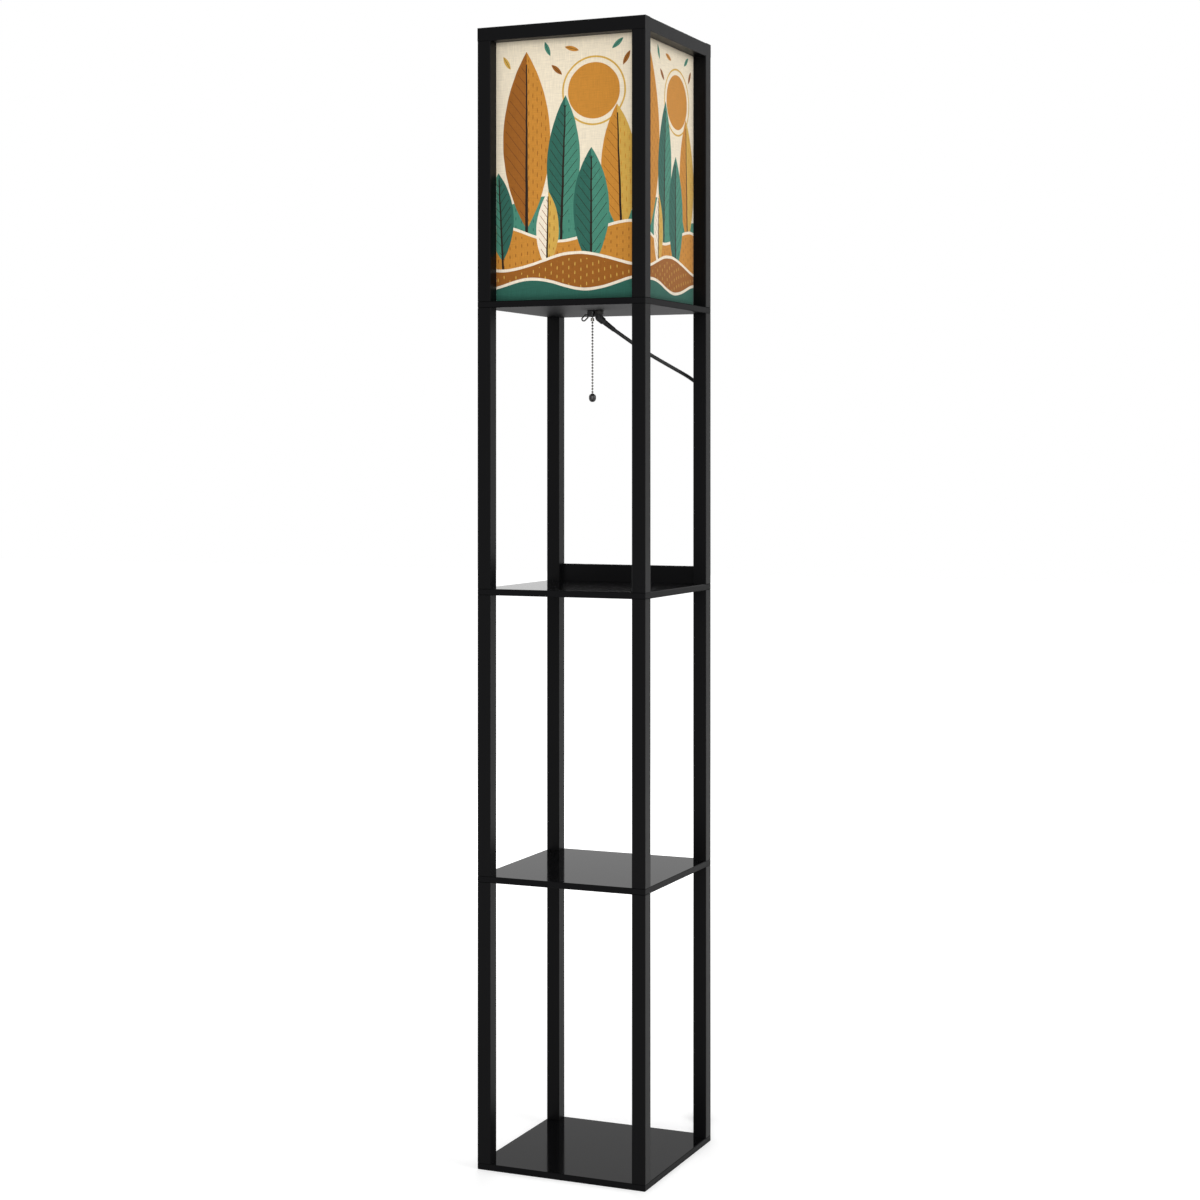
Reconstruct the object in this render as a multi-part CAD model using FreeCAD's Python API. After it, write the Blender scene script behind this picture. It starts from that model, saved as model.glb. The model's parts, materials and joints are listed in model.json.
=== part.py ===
"""Shelf floor lamp: four tiers of posts between through boards, a square fabric shade on top.

Millimetres. The origin is the centre of the base's underside, +X runs along the front face to the
right, +Y towards the back and +Z up.
"""
import FreeCAD
import Part
import math
import os

os.makedirs("parts", exist_ok=True)

V = FreeCAD.Vector
UP = V(0, 0, 1)

# ---------------------------------------------------------------- driving sizes
# Frame
WIDTH = 254.0
DEPTH = 254.0
POST = 20.0
BOARD_T = 9.0
BAY_H = 393.5
SHADE_BAY_H = 364.5
TOP_H = 19.0
EDGE = 0.8
BACK_RAIL_H = 25.0
BACK_RAIL_T = 9.0

# Fasteners of the frame
DOWEL_SCREW_R = 3.0
DOWEL_SCREW_DEPTH = 14.0
SCREW_R = 2.2
SCREW_HEAD_R = 4.4
SCREW_HEAD_H = 2.6
SCREW_DEPTH = 26.0
HOLE_GAP = 0.2
RAIL_DOWEL_R = 2.5
RAIL_DOWEL_L = 24.0
RAIL_DOWEL_SHIFT = 5.0

# Shade
SHADE_GAP = 0.3
SHADE_FOOT_GAP = 0.6
SHADE_T = 0.8
SHADE_IN_TOP = 10.0
WIRE_R = 1.5
HUB_R = 22.0
HUB_T = 2.0
ARM_R = 1.4

# Lampholder and bulb
COVER_R = 23.0
COVER_H = 17.0
COVER_T = 1.6
BODY_R = 16.6
BODY_H = 34.0
SHOULDER_R = 19.0
SHOULDER_Z = 21.0
SHOULDER_T = 3.0
BODY_BORE_R = 14.6
BODY_FLOOR = 8.0
SHELL_T = 0.5
SHELL_GAP = 0.1
SHELL_H = 24.0
CONTACT_R = 4.0
CONTACT_H = 1.6
CONTACT_GAP = 3.0
RING_R = 19.6
RING_H = 8.0
RING_GRIP_R = 1.0
RING_GRIPS = 14
BULB_BASE_R = 13.2
BULB_BASE_H = 24.0
BULB_BASE_EASE = 3.0
BULB_TIP_R = 5.0
BULB_TIP_H = 2.0
BULB_TIP_EASE = 1.0
BULB_NECK_R = 14.5
BULB_NECK_H = 14.0
BULB_SIDE = 28.0
BULB_R = 30.0
BULB_L = 84.0

# Nipple, nut and chain bell in the deck
NIPPLE_X = 4.0
NIPPLE_R = 4.0
NIPPLE_BORE_R = 3.0
NIPPLE_PROUD = 3.0
NIPPLE_FIT = 0.05
NUT_AF = 11.0
NUT_H = 3.4
WASHER_R = 6.4
WASHER_T = 0.9
CHAIN_X = -6.2
BELL_R = 3.1
BELL_BORE_R = 1.7
BELL_DROP = 8.5
BELL_FLARE = 1.6
BELL_LUG = 4.4
BELL_LUG_R = 3.7
BELL_EASE = 0.8
SWITCH_L = 16.0
SWITCH_W = 11.0
SWITCH_H = 10.0
SWITCH_WALL = 2.0
SWITCH_X = -11.0

# Pull chain
ROD_R = 0.8
COUPLING_R = 2.6
COUPLING_BORE_R = 2.0
COUPLING_H = 5.0
COUPLING_SKIRT = 2.1
COUPLING_LIP = 0.45
COUPLING_MOUTH_R = 1.2
COUPLING_GAP = 1.0
BEAD_R = 1.55
BEAD_PITCH = 4.31
BEAD_GAP = 0.2
BEAD_SIDES = 8
BEAD_PROFILE = [(0.62, 1.0), (1.0, 0.42), (1.0, -0.42), (0.62, -1.0)]
LINK_W = 0.7
UPPER_BEAD_COUNT = 13
LOWER_BEAD_COUNT = 12
KNOB_R = 5.2
KNOB_H = 12.2
KNOB_PROFILE = [
    (0.0, 0.0), (0.4, 0.0), (0.72, 0.1), (1.0, 0.3), (1.0, 0.7), (0.72, 0.9), (0.4, 1.0), (0.0, 1.0),
]

# Small wire loop beside the bell
LOOP_WIRE = 2.0
LOOP_R = 3.6
LOOP_L = 5.0
LOOP_OUT = 6.7
LOOP_DROP = 9.6
LOOP_TILT = 45.0
LOOP_PLAN = 203.0

# Free cord
CORD_D = 5.5
RELIEF_COLLAR_R = 5.6
RELIEF_COLLAR_H = 5.7
RELIEF_L = 30.0
RELIEF_R = 5.2
RELIEF_ELBOW_L = 8.0
RELIEF_STEP = 2.0
RELIEF_BOOT_R = 4.0
RELIEF_END_R = 3.2
RELIEF_RIB_W = 1.4
RELIEF_RIB_GROOVE = 0.6
RELIEF_RIB_COUNT = 5
RELIEF_DIP = 33.0
RELIEF_PLAN = 53.9

# ---------------------------------------------------------------- levels and lines
BASE_TOP = BOARD_T
TIER = BOARD_T + BAY_H
LOWER_Z = TIER
MIDDLE_Z = 2 * TIER
DECK_Z = 3 * TIER
DECK_TOP = DECK_Z + BOARD_T
TOP_Z = DECK_TOP + SHADE_BAY_H
TOTAL_H = TOP_Z + TOP_H
POST_X = WIDTH / 2 - POST / 2
POST_Y = DEPTH / 2 - POST / 2
INNER_X = WIDTH / 2 - POST
INNER_Y = DEPTH / 2 - POST
CORNERS = {
    "front_left": (-POST_X, -POST_Y),
    "front_right": (POST_X, -POST_Y),
    "rear_left": (-POST_X, POST_Y),
    "rear_right": (POST_X, POST_Y),
}
TIERS = {
    "lower": (BASE_TOP, LOWER_Z),
    "middle": (LOWER_Z + BOARD_T, MIDDLE_Z),
    "upper": (MIDDLE_Z + BOARD_T, DECK_Z),
    "shade": (DECK_TOP, TOP_Z),
}


# ---------------------------------------------------------------- helpers
def save(name, shape):
    """One STEP file for each node."""
    shape.exportStep("parts/" + name + ".step")


def box(x0, x1, y0, y1, z0, z1):
    return Part.makeBox(x1 - x0, y1 - y0, z1 - z0, V(x0, y0, z0))


def rod(r, x, y, z0, z1):
    return Part.makeCylinder(r, z1 - z0, V(x, y, z0))


def tube(outer, inner, x, y, z0, z1):
    return rod(outer, x, y, z0, z1).cut(rod(inner, x, y, z0 - 1, z1 + 1))


def turned(profile, x=0.0, y=0.0):
    """A solid of revolution about the vertical line at x, y from (radius, height) points."""
    points = [V(x + r, y, z) for r, z in profile]
    wire = Part.makePolygon(points + points[:1])
    return Part.Face(wire).revolve(V(x, y, 0), UP, 360)


def upright_edges(shape, long_enough):
    """The vertical edges of a shape that are at least so long."""
    found = []
    for edge in shape.Edges:
        low, high = edge.BoundBox.ZMin, edge.BoundBox.ZMax
        if edge.BoundBox.DiagonalLength - (high - low) < 1e-6 and high - low > long_enough:
            found.append(edge)
    return found


def tangent_path(points):
    """Straight runs joined by tangent arcs, as large as the runs allow, and the arcs' radii."""
    points = [V(*p) for p in points]
    edges = []
    radii = []
    start = points[0]
    for before, corner, after in zip(points, points[1:], points[2:]):
        back = (before - corner).normalize()
        on = (after - corner).normalize()
        half_turn = (math.pi - back.getAngle(on)) / 2
        reach = 0.45 * min((before - corner).Length, (after - corner).Length)
        radius = reach / math.tan(half_turn)
        radii.append(radius)
        first = corner + back * reach
        last = corner + on * reach
        centre = corner + (back + on).normalize() * (radius / math.cos(half_turn))
        mid = centre + (corner - centre).normalize() * radius
        edges.append(Part.LineSegment(start, first).toShape())
        edges.append(Part.Arc(first, mid, last).toShape())
        start = last
    edges.append(Part.LineSegment(start, points[-1]).toShape())
    return Part.Wire(edges), radii


def cord_tube(points, label):
    """A round tube of the cord's diameter along a route."""
    path, radii = tangent_path(points)
    heading = V(*points[1]) - V(*points[0])
    circle = Part.makeCircle(CORD_D / 2, V(*points[0]), heading)
    solid = path.makePipeShell([Part.Wire(circle)], True, True)
    section = math.pi * (CORD_D / 2) ** 2
    print(label, "length", round(path.Length, 1), "least radius", round(min(radii), 1))
    print(label, "radii", [round(r) for r in radii])
    print(label, "volume over section times length", round(solid.Volume / section / path.Length, 4))
    return solid, path.Length


# ---------------------------------------------------------------- frame
def post(x, y, z0, z1, foot_hole, head_hole):
    """A square post with its long edges eased and a screw hole up each end."""
    half = POST / 2
    body = box(x - half, x + half, y - half, y + half, z0, z1)
    body = body.makeChamfer(EDGE, upright_edges(body, POST))
    for (radius, depth), level, way in ((foot_hole, z0, 1), (head_hole, z1, -1)):
        body = body.cut(Part.makeCylinder(radius, depth, V(x, y, level), UP * way))
    return body


def make_posts():
    dowel = (DOWEL_SCREW_R, DOWEL_SCREW_DEPTH)
    screw = (SCREW_R, SCREW_DEPTH)
    for tier, (z0, z1) in TIERS.items():
        foot = screw if tier == "lower" else dowel
        head = screw if tier == "shade" else dowel
        for corner, (x, y) in CORNERS.items():
            save("post_" + tier + "_" + corner, post(x, y, z0, z1, foot, head))


def board(z0):
    """A plate that runs out to the outer faces of the posts, with eased corners and edges."""
    plate = box(-WIDTH / 2, WIDTH / 2, -DEPTH / 2, DEPTH / 2, z0, z0 + BOARD_T)
    return plate.makeChamfer(EDGE, plate.Edges)


def countersink(x, y, face_z, way, gap):
    """A countersunk head with its flat side at face_z; way is the direction the screw points."""
    cone = Part.makeCone(SCREW_HEAD_R + gap, SCREW_R + gap, SCREW_HEAD_H, V(x, y, face_z), UP * way)
    return cone


def wood_screw(x, y, face_z, way, reach):
    """A countersunk screw, flush at face_z, that reaches so far from it."""
    shank = Part.makeCylinder(SCREW_R, reach, V(x, y, face_z), UP * way)
    return shank.fuse(countersink(x, y, face_z, way, 0)).removeSplitter()


def drilled(plate, places, radius, z0, z1):
    for x, y in places:
        plate = plate.cut(rod(radius, x, y, z0 - 1, z1 + 1))
    return plate


BACK_RAIL_SCREWS = [(-INNER_X / 2, DEPTH / 2 - BACK_RAIL_T / 2), (INNER_X / 2, DEPTH / 2 - BACK_RAIL_T / 2)]
BACK_RAIL_SCREW_L = BOARD_T + 0.6 * BACK_RAIL_H


def make_boards():
    corners = list(CORNERS.values())
    dowel_hole = DOWEL_SCREW_R + HOLE_GAP

    base = drilled(board(0), corners, SCREW_R + HOLE_GAP, 0, BASE_TOP)
    for x, y in corners:
        base = base.cut(countersink(x, y, 0, 1, HOLE_GAP))
    save("base_board", base)

    save("lower_shelf", drilled(board(LOWER_Z), corners, dowel_hole, LOWER_Z, LOWER_Z + BOARD_T))

    middle = drilled(board(MIDDLE_Z), corners, dowel_hole, MIDDLE_Z, MIDDLE_Z + BOARD_T)
    middle = drilled(middle, BACK_RAIL_SCREWS, SCREW_R + HOLE_GAP, MIDDLE_Z, MIDDLE_Z + BOARD_T)
    for x, y in BACK_RAIL_SCREWS:
        middle = middle.cut(countersink(x, y, MIDDLE_Z, 1, HOLE_GAP))
    save("middle_shelf", middle)

    deck = drilled(board(DECK_Z), corners, dowel_hole, DECK_Z, DECK_TOP)
    deck = drilled(deck, [(NIPPLE_X, 0)], NIPPLE_R + HOLE_GAP, DECK_Z, DECK_TOP)
    deck = drilled(deck, [(CHAIN_X, 0)], BELL_R + HOLE_GAP, DECK_Z, DECK_TOP)
    save("shade_deck", deck)


def make_back_rail():
    top = MIDDLE_Z + BOARD_T + BACK_RAIL_H
    rail = box(-INNER_X, INNER_X, DEPTH / 2 - BACK_RAIL_T, DEPTH / 2, MIDDLE_Z + BOARD_T, top)
    long_top = [e for e in rail.Edges if e.BoundBox.ZMin > top - 1e-6 and e.BoundBox.XLength > POST]
    rail = rail.makeChamfer(EDGE, long_top)
    screws = []
    for x, y in BACK_RAIL_SCREWS:
        rail = rail.cut(Part.makeCylinder(SCREW_R, BACK_RAIL_SCREW_L, V(x, y, MIDDLE_Z)))
        screws.append(wood_screw(x, y, MIDDLE_Z, 1, BACK_RAIL_SCREW_L))
    save("back_rail", rail)
    save("back_rail_screws", Part.makeCompound(screws))


def top_rail(x0, x1, y0, y1):
    rail = box(x0, x1, y0, y1, TOP_Z, TOTAL_H)
    along = "XLength" if x1 - x0 > y1 - y0 else "YLength"
    long_edges = [e for e in rail.Edges if getattr(e.BoundBox, along) > 2 * POST]
    return rail.makeChamfer(EDGE, long_edges)


def make_top_frame():
    """Front and rear rails run right across, and the side rails butt between them."""
    rails = {
        "front": top_rail(-WIDTH / 2, WIDTH / 2, -DEPTH / 2, -INNER_Y),
        "rear": top_rail(-WIDTH / 2, WIDTH / 2, INNER_Y, DEPTH / 2),
        "left": top_rail(-WIDTH / 2, -INNER_X, -INNER_Y, INNER_Y),
        "right": top_rail(INNER_X, WIDTH / 2, -INNER_Y, INNER_Y),
    }
    for name in ("front", "rear"):
        for corner, (x, y) in CORNERS.items():
            if corner.startswith(name):
                rails[name] = rails[name].cut(rod(SCREW_R + HOLE_GAP, x, y, TOP_Z - 1, TOTAL_H + 1))
                rails[name] = rails[name].cut(countersink(x, y, TOTAL_H, -1, HOLE_GAP))
    dowels = []
    for corner, (x, y) in CORNERS.items():
        side = math.copysign(1, x)
        face = math.copysign(INNER_Y, y)
        centre = V(x - side * RAIL_DOWEL_SHIFT, face - RAIL_DOWEL_L / 2, TOP_Z + TOP_H / 2)
        dowel = Part.makeCylinder(RAIL_DOWEL_R, RAIL_DOWEL_L, centre, V(0, 1, 0))
        dowels.append(dowel)
        for name in corner.split("_"):
            rails[name] = rails[name].cut(dowel)
    for name, rail in rails.items():
        save("top_rail_" + name, rail)
    save("top_rail_dowels", Part.makeCompound(dowels))


def make_frame_screws():
    dowel_screws = []
    for level in (LOWER_Z, MIDDLE_Z, DECK_Z):
        for x, y in CORNERS.values():
            low = level - DOWEL_SCREW_DEPTH
            dowel_screws.append(rod(DOWEL_SCREW_R, x, y, low, level + BOARD_T + DOWEL_SCREW_DEPTH))
    save("dowel_screws", Part.makeCompound(dowel_screws))
    base = [wood_screw(x, y, 0, 1, BOARD_T + SCREW_DEPTH) for x, y in CORNERS.values()]
    save("base_screws", Part.makeCompound(base))
    top = [wood_screw(x, y, TOTAL_H, -1, TOP_H + SCREW_DEPTH) for x, y in CORNERS.values()]
    save("top_screws", Part.makeCompound(top))


# ---------------------------------------------------------------- shade
SHADE_X = INNER_X - SHADE_GAP
SHADE_Y = INNER_Y - SHADE_GAP
SHADE_Z0 = DECK_TOP + SHADE_FOOT_GAP
SHADE_Z1 = TOP_Z + SHADE_IN_TOP
WIRE_X = SHADE_X - SHADE_T - WIRE_R
WIRE_Y = SHADE_Y - SHADE_T - WIRE_R
HOLDER_Z = DECK_TOP
SHOULDER_TOP = HOLDER_Z + COVER_H - COVER_T + SHOULDER_Z


def square_wire(z):
    """A square ring of round wire with mitred corners."""
    corners = [V(-WIRE_X, -WIRE_Y, z), V(WIRE_X, -WIRE_Y, z), V(WIRE_X, WIRE_Y, z), V(-WIRE_X, WIRE_Y, z)]
    sides = []
    for a, b in zip(corners, corners[1:] + corners[:1]):
        way = (b - a).normalize()
        side = Part.makeCylinder(WIRE_R, (b - a).Length + 2 * WIRE_R, a - way * WIRE_R, way)
        sides.append(side)
    ring = sides[0].multiFuse(sides[1:])
    x, y = WIRE_X + WIRE_R, WIRE_Y + WIRE_R
    return ring.common(box(-x, x, -y, y, z - 2 * WIRE_R, z + 2 * WIRE_R))


def make_shade():
    outer = box(-SHADE_X, SHADE_X, -SHADE_Y, SHADE_Y, SHADE_Z0, SHADE_Z1)
    in_x, in_y = SHADE_X - SHADE_T, SHADE_Y - SHADE_T
    save("shade_cover", outer.cut(box(-in_x, in_x, -in_y, in_y, SHADE_Z0 - 1, SHADE_Z1 + 1)))
    low_z = SHADE_Z0 + WIRE_R
    save("shade_wire_lower", square_wire(low_z))
    save("shade_wire_upper", square_wire(SHADE_Z1 - WIRE_R))

    hub_z = SHOULDER_TOP
    spider = tube(HUB_R, BODY_R + HOLE_GAP, 0, 0, hub_z, hub_z + HUB_T)
    for x, y in ((1, 0), (-1, 0), (0, 1), (0, -1)):
        root = V(x * (HUB_R - ARM_R), y * (HUB_R - ARM_R), hub_z + HUB_T / 2)
        end = V(x * WIRE_X, y * WIRE_Y, low_z + WIRE_R + ARM_R)
        spider = spider.fuse(Part.makeCylinder(ARM_R, (end - root).Length, root, end - root))
    save("shade_spider", spider)


# ---------------------------------------------------------------- lampholder and bulb
BODY_Z = HOLDER_Z + COVER_H - COVER_T
SHELL_R = BODY_BORE_R - SHELL_GAP
SHELL_Z = BODY_Z + BODY_FLOOR + SHELL_GAP
CONTACT_Z = BODY_Z + BODY_FLOOR
BULB_Z = CONTACT_Z + CONTACT_H


def make_lampholder():
    top = HOLDER_Z + COVER_H
    waist = HOLDER_Z + COVER_H / 2
    cover = turned([
        (COVER_R, HOLDER_Z), (COVER_R, waist), (BODY_R + 2 * COVER_T, top), (BODY_R + HOLE_GAP, top),
        (BODY_R + HOLE_GAP, top - COVER_T), (BODY_R + COVER_T, top - COVER_T),
        (COVER_R - COVER_T, waist - COVER_T / 2), (COVER_R - COVER_T, HOLDER_Z),
    ])
    save("lampholder_cover", cover)

    z = BODY_Z
    under, over, floor = z + SHOULDER_Z - SHOULDER_T, z + SHOULDER_Z, z + BODY_FLOOR
    body = turned([
        (0, z), (BODY_R, z), (BODY_R, under), (SHOULDER_R, under), (SHOULDER_R, over), (BODY_R, over),
        (BODY_R, z + BODY_H), (BODY_BORE_R, z + BODY_H), (BODY_BORE_R, floor), (0, floor),
    ])
    save("lampholder_body", body.cut(rod(NIPPLE_R + NIPPLE_FIT, NIPPLE_X, 0, z - 1, NIPPLE_TOP)))

    inner = SHELL_R - SHELL_T
    lip = CONTACT_R + CONTACT_GAP
    shell = turned([
        (lip, SHELL_Z), (SHELL_R, SHELL_Z), (SHELL_R, SHELL_Z + SHELL_H), (inner, SHELL_Z + SHELL_H),
        (inner, SHELL_Z + SHELL_T), (lip, SHELL_Z + SHELL_T),
    ])
    save("screw_shell", shell)
    save("centre_contact", rod(CONTACT_R, 0, 0, CONTACT_Z, CONTACT_Z + CONTACT_H))
    z0, z1 = SHOULDER_TOP + HUB_T, SHOULDER_TOP + HUB_T + RING_H
    ring = tube(RING_R, BODY_R + HOLE_GAP / 2, 0, 0, z0, z1)
    for k in range(RING_GRIPS):
        angle = 2 * math.pi * k / RING_GRIPS
        ring = ring.cut(rod(RING_GRIP_R, RING_R * math.cos(angle), RING_R * math.sin(angle), z0, z1))
    save("shade_ring", ring)


def make_bulb():
    z = BULB_Z
    tip = BULB_TIP_H
    base_top = z + tip + BULB_BASE_H
    save("bulb_base", turned([
        (0, z), (BULB_TIP_R, z), (BULB_TIP_R + BULB_TIP_EASE, z + tip),
        (BULB_BASE_R - BULB_BASE_EASE, z + tip + BULB_TIP_EASE),
        (BULB_BASE_R, z + tip + BULB_TIP_EASE + BULB_BASE_EASE), (BULB_BASE_R, base_top), (0, base_top),
    ]))
    centre = base_top + BULB_L - BULB_R
    side = math.radians(BULB_SIDE)
    crown, foot = V(0, 0, centre + BULB_R), V(0, 0, base_top)
    join = V(BULB_R * math.cos(side), 0, centre - BULB_R * math.sin(side))
    neck = V(BULB_NECK_R, 0, base_top + BULB_NECK_H)
    dome = Part.Arc(crown, V(BULB_R, 0, centre), join)
    flank = Part.BSplineCurve()
    flank.interpolate([join, neck], InitialTangent=V(-math.sin(side), 0, -math.cos(side)), FinalTangent=-UP)
    rest = Part.makePolygon([neck, V(BULB_NECK_R, 0, base_top), foot, crown])
    outline = Part.Wire([dome.toShape(), flank.toShape()] + rest.Edges)
    save("bulb_globe", Part.Face(outline).revolve(V(0, 0, 0), UP, 360))


NUT_Z = DECK_Z - WASHER_T - NUT_H
NIPPLE_END = NUT_Z - NIPPLE_PROUD
NIPPLE_TOP = BODY_Z + BODY_FLOOR / 2


def polygon(sides, r, x, y, z):
    """A level regular polygon with a flat side towards +X."""
    turns = [2 * math.pi * (k + 0.5) / sides for k in range(sides + 1)]
    return Part.makePolygon([V(x + r * math.cos(t), y + r * math.sin(t), z) for t in turns])


def oblong(grow, z0, z1):
    """The chain guide's outline, round at both ends, as an upright block."""
    r, lug = BELL_LUG_R + grow, CHAIN_X - BELL_LUG
    block = box(lug, CHAIN_X, -r, r, z0, z1)
    return block.multiFuse([rod(r, lug, 0, z0, z1), rod(r, CHAIN_X, 0, z0, z1)]).removeSplitter()


def make_deck_fittings():
    save("nipple", tube(NIPPLE_R, NIPPLE_BORE_R, NIPPLE_X, 0, NIPPLE_END, NIPPLE_TOP))
    hexagon = Part.Face(polygon(6, NUT_AF / math.sqrt(3), NIPPLE_X, 0, NUT_Z)).extrude(UP * NUT_H)
    save("nipple_nut", hexagon.cut(rod(NIPPLE_R, NIPPLE_X, 0, NUT_Z - 1, NUT_Z + NUT_H + 1)))
    washer = tube(WASHER_R, NIPPLE_R + HOLE_GAP, NIPPLE_X, 0, DECK_Z - WASHER_T, DECK_Z)
    save("deck_washer", washer.cut(oblong(HOLE_GAP, DECK_Z - 2 * WASHER_T, DECK_TOP)))

    top = DECK_TOP + SWITCH_H
    left, right = SWITCH_X - SWITCH_L / 2, SWITCH_X + SWITCH_L / 2
    switch = box(left, right, -SWITCH_W / 2, SWITCH_W / 2, DECK_TOP, top)
    switch = switch.cut(rod(ROD_R + HOLE_GAP, CHAIN_X, 0, DECK_TOP - 1, top - SWITCH_WALL))
    save("pull_switch", switch)
    low = DECK_Z - BELL_DROP
    guide = oblong(0, low, DECK_Z)
    guide = guide.makeChamfer(BELL_EASE, [e for e in guide.Edges if e.BoundBox.ZMax < low + BELL_EASE])
    guide = guide.fuse(rod(BELL_R, CHAIN_X, 0, DECK_Z, DECK_TOP))
    guide = guide.cut(rod(BELL_BORE_R, CHAIN_X, 0, low - 1, DECK_TOP + 1))
    mouth = Part.makeCone(BELL_BORE_R + BELL_FLARE / 2, BELL_BORE_R, BELL_FLARE, V(CHAIN_X, 0, low))
    save("chain_bell", guide.cut(mouth))


# ---------------------------------------------------------------- pull chain
COUPLING_TOP = DECK_Z - BELL_DROP - COUPLING_GAP
COUPLING_FOOT = COUPLING_TOP - COUPLING_H
ROD_TOP = DECK_TOP + SWITCH_H - SWITCH_WALL - COUPLING_GAP
UPPER_PIVOT_Z = COUPLING_FOOT + COUPLING_SKIRT
LOWER_PIVOT_Z = UPPER_PIVOT_Z - (UPPER_BEAD_COUNT - 1) * BEAD_PITCH
KNOB_TOP = LOWER_PIVOT_Z - (LOWER_BEAD_COUNT + 0.5) * BEAD_PITCH


def bead(z):
    """One bead, an octagonal barrel that narrows to both ends."""
    rings = [polygon(BEAD_SIDES, BEAD_R * r, CHAIN_X, 0, z + BEAD_R * h) for r, h in BEAD_PROFILE]
    return Part.makeLoft(rings, True, True)


def bead_run(first, count, link_top, link_foot):
    """So many beads from the first one's level down, on the link that runs through them."""
    half = LINK_W / 2
    link = box(CHAIN_X - half, CHAIN_X + half, -half, half, link_foot, link_top)
    return link.multiFuse([bead(first - k * BEAD_PITCH) for k in range(count)])


def make_chain():
    roof = UPPER_PIVOT_Z + BEAD_R + BEAD_GAP
    lip = COUPLING_FOOT + COUPLING_LIP
    save("pull_rod", turned([
        (0, roof), (COUPLING_BORE_R, roof), (COUPLING_BORE_R, lip), (COUPLING_MOUTH_R, lip),
        (COUPLING_MOUTH_R, COUPLING_FOOT), (COUPLING_R, COUPLING_FOOT),
        (COUPLING_R, COUPLING_TOP - 1), (ROD_R, COUPLING_TOP), (ROD_R, ROD_TOP), (0, ROD_TOP),
    ], CHAIN_X))
    save("chain_upper", bead_run(UPPER_PIVOT_Z, UPPER_BEAD_COUNT, UPPER_PIVOT_Z, LOWER_PIVOT_Z))
    link_top = LOWER_PIVOT_Z - BEAD_R - BEAD_GAP
    save("chain_lower", bead_run(LOWER_PIVOT_Z - BEAD_PITCH, LOWER_BEAD_COUNT, link_top, KNOB_TOP))
    save("pull_knob", turned([(KNOB_R * r, KNOB_TOP - KNOB_H * h) for r, h in KNOB_PROFILE], CHAIN_X))


def make_loop():
    """A long eye of round wire that leans down and outwards from the guide's lug."""
    half, bend = LOOP_L / 2, LOOP_R - LOOP_WIRE / 2
    along = V(1, 0, 0)
    parts = [Part.makeCylinder(LOOP_WIRE / 2, LOOP_L, V(-half, 0, z), along) for z in (-bend, bend)]
    for x in (-half, half):
        ring = Part.makeTorus(bend, LOOP_WIRE / 2, V(x, 0, 0), V(0, 1, 0))
        inner, outer = sorted((x, x + math.copysign(2 * LOOP_R, x)))
        parts.append(ring.common(box(inner, outer, -LOOP_WIRE, LOOP_WIRE, -2 * LOOP_R, 2 * LOOP_R)))
    eye = parts[0].multiFuse(parts[1:])
    plan = FreeCAD.Rotation(UP, LOOP_PLAN)
    centre = V(CHAIN_X - BELL_LUG, 0, DECK_Z - LOOP_DROP) + plan.multVec(V(LOOP_OUT, 0, 0))
    eye.Placement = FreeCAD.Placement(centre, plan.multiply(FreeCAD.Rotation(V(0, 1, 0), LOOP_TILT)))
    save("wire_loop", eye.cut(oblong(0, DECK_Z - BELL_DROP, DECK_Z)))


# ---------------------------------------------------------------- cord
# The route from the strain relief to the clips on the rear right post, chosen by hand.
CORD_ROUTE = [
    (18.8, 20.3, 1181.2), (33.6, 40.6, 1166.4), (52.6, 66.6, 1148.4), (76.8, 99.9, 1129.2),
    (98.0, 129.3, 1112.6), (111.5, 141.5, 1096.0), (115.5, 137.5, 1071.0), (115.4, 132.6, 1035.0),
    (114.0, 131.4, 982.0), (114.0, 131.4, 920.0), (115.6, 132.6, 846.0), (114.6, 133.2, 770.0),
    (114.0, 131.4, 700.0), (114.0, 131.4, 640.0), (112.9, 132.9, 566.0), (114.9, 132.5, 490.0),
    (115.3, 133.2, 412.0), (114.0, 131.4, 336.0), (114.0, 131.4, 274.0), (115.0, 133.0, 204.0),
    (116.2, 135.4, 136.0), (116.2, 135.4, 74.0),
]
CLIP_X = 114.0
CLIP_Z = (951.0, 670.0, 305.0)
CLIP_REACH = 4.4
CLIP_R = 2.85
CLIP_T = 1.4
CLIP_W = 7.0
CLIP_EAR = 6.0

# The put-away hank stands behind the rear right post; its own axes run back (s), sideways (a) and up.
HANK_AT = (117.0, 117.0)
HANK_TURN = 110.713
HANK_S = 17.5
HANK_R = 18.5
HANK_RUN = 58.0
HANK_STEP = 5.8
HANK_STRANDS = 3
TIE_W = 14.0
TIE_T = 1.2
TAIL_ROUTE = [
    (17.5, -5.8, 38.0), (17.5, -5.9, 24.0), (22.6, -6.6, 12.6), (33.0, -7.8, 5.8),
    (46.0, -8.6, 2.9), (60.0, -6.2, 3.3), (72.0, -2.2, 5.6), (82.0, 0.0, 7.5),
]
PLUG_RELIEF_L = 20.0
PLUG_RELIEF_R = 4.2
PLUG_RELIEF_WALL = 0.4
PLUG_L = 25.0
PLUG_W = 22.0
PLUG_BACK_W = 15.0
PLUG_SHOULDER_L = 17.5
PLUG_H = 15.0
PLUG_EDGE = 1.6
BLADE_L = 16.0
BLADE_W = 6.3
BLADE_T = 1.5
BLADE_PITCH = 12.7
BLADE_ROOT = 6.0
BLADE_HOLE_R = 1.6
BLADE_HOLE_IN = 4.0

HANK_FRAME = FreeCAD.Placement(V(HANK_AT[0], HANK_AT[1], 0), FreeCAD.Rotation(UP, HANK_TURN))


def hank_point(s, a, z):
    """A place given back, sideways and up from the rear right post, in the lamp's own frame."""
    return HANK_FRAME.multVec(V(s, -a, z))


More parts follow.
